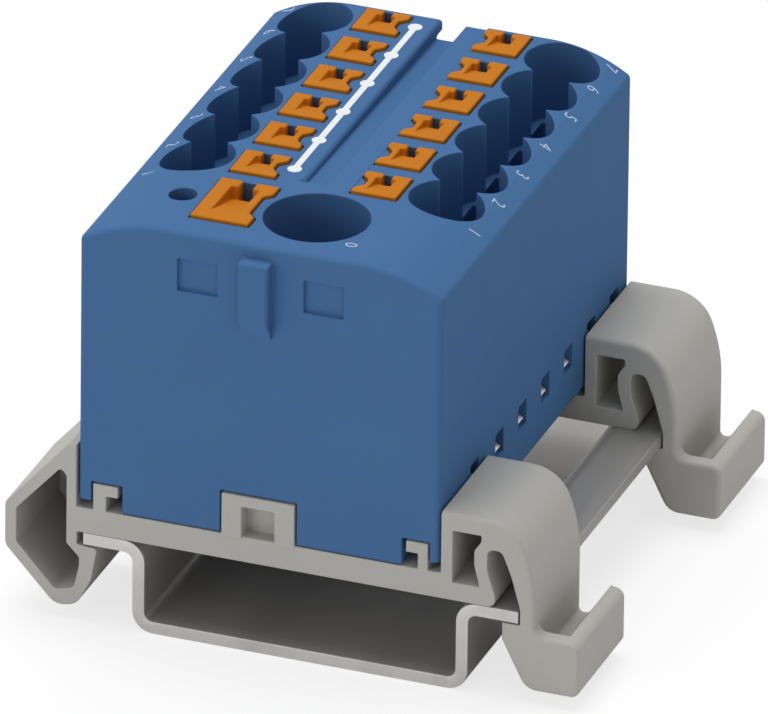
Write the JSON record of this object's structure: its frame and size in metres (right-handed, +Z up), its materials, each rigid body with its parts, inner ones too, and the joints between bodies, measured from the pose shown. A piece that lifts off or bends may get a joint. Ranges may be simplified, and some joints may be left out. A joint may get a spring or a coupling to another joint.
{
  "type": "power distribution block",
  "caption": "Push-in power distribution block with two rows of wire ports, orange release buttons and a larger feed port, clipped by two spring feet to a piece of top-hat rail.",
  "frame": {"origin": "centre of the rail's underside", "axes": "+Z up from the mounting surface, +Y along the rail from the feed end to the back, +X across the rail towards the release levers"},
  "size_m": [0.0462, 0.0453, 0.0345],
  "materials": {
    "blue_plastic": "fine matt moulding",
    "cover_plastic": "fine matt moulding",
    "grey_plastic": "satin moulding",
    "rail_steel": "dull zinc plating",
    "tinned_copper": "tin plating",
    "spring_steel": "bright spring steel",
    "orange_plastic": "satin moulding"
  },
  "bodies": {
    "block": {"housing": "blue_plastic", "base_cover": "cover_plastic", "rail_foot_front": "grey_plastic", "rail_foot_rear": "grey_plastic", "rail_section": "rail_steel", "current_bar": "tinned_copper", "clamp_spring_left_1": "spring_steel", "clamp_spring_left_2": "spring_steel", "clamp_spring_left_3": "spring_steel", "clamp_spring_left_4": "spring_steel", "clamp_spring_left_5": "spring_steel", "clamp_spring_left_6": "spring_steel", "clamp_spring_right_1": "spring_steel", "clamp_spring_right_2": "spring_steel", "clamp_spring_right_3": "spring_steel", "clamp_spring_right_4": "spring_steel", "clamp_spring_right_5": "spring_steel", "clamp_spring_right_6": "spring_steel", "feed_clamp_spring": "spring_steel"},
    "left_button_1": {"button_left_1": "orange_plastic"},
    "left_button_2": {"button_left_2": "orange_plastic"},
    "left_button_3": {"button_left_3": "orange_plastic"},
    "left_button_4": {"button_left_4": "orange_plastic"},
    "left_button_5": {"button_left_5": "orange_plastic"},
    "left_button_6": {"button_left_6": "orange_plastic"},
    "right_button_1": {"button_right_1": "orange_plastic"},
    "right_button_2": {"button_right_2": "orange_plastic"},
    "right_button_3": {"button_right_3": "orange_plastic"},
    "right_button_4": {"button_right_4": "orange_plastic"},
    "right_button_5": {"button_right_5": "orange_plastic"},
    "right_button_6": {"button_right_6": "orange_plastic"},
    "feed_release": {"feed_button": "orange_plastic"}
  },
  "joints": [
    {"name": "left_press_1", "type": "slide", "parent": "block", "child": "left_button_1", "axis": [0, 0, -1], "range_m": [0, 0.0015], "stiffness_N_per_m": 800},
    {"name": "left_press_2", "type": "slide", "parent": "block", "child": "left_button_2", "axis": [0, 0, -1], "range_m": [0, 0.0015], "stiffness_N_per_m": 800},
    {"name": "left_press_3", "type": "slide", "parent": "block", "child": "left_button_3", "axis": [0, 0, -1], "range_m": [0, 0.0015], "stiffness_N_per_m": 800},
    {"name": "left_press_4", "type": "slide", "parent": "block", "child": "left_button_4", "axis": [0, 0, -1], "range_m": [0, 0.0015], "stiffness_N_per_m": 800},
    {"name": "left_press_5", "type": "slide", "parent": "block", "child": "left_button_5", "axis": [0, 0, -1], "range_m": [0, 0.0015], "stiffness_N_per_m": 800},
    {"name": "left_press_6", "type": "slide", "parent": "block", "child": "left_button_6", "axis": [0, 0, -1], "range_m": [0, 0.0015], "stiffness_N_per_m": 800},
    {"name": "right_press_1", "type": "slide", "parent": "block", "child": "right_button_1", "axis": [0, 0, -1], "range_m": [0, 0.0015], "stiffness_N_per_m": 800},
    {"name": "right_press_2", "type": "slide", "parent": "block", "child": "right_button_2", "axis": [0, 0, -1], "range_m": [0, 0.0015], "stiffness_N_per_m": 800},
    {"name": "right_press_3", "type": "slide", "parent": "block", "child": "right_button_3", "axis": [0, 0, -1], "range_m": [0, 0.0015], "stiffness_N_per_m": 800},
    {"name": "right_press_4", "type": "slide", "parent": "block", "child": "right_button_4", "axis": [0, 0, -1], "range_m": [0, 0.0015], "stiffness_N_per_m": 800},
    {"name": "right_press_5", "type": "slide", "parent": "block", "child": "right_button_5", "axis": [0, 0, -1], "range_m": [0, 0.0015], "stiffness_N_per_m": 800},
    {"name": "right_press_6", "type": "slide", "parent": "block", "child": "right_button_6", "axis": [0, 0, -1], "range_m": [0, 0.0015], "stiffness_N_per_m": 800},
    {"name": "feed_press", "type": "slide", "parent": "block", "child": "feed_release", "axis": [0, 0, -1], "range_m": [0, 0.002], "stiffness_N_per_m": 1200}
  ]
}
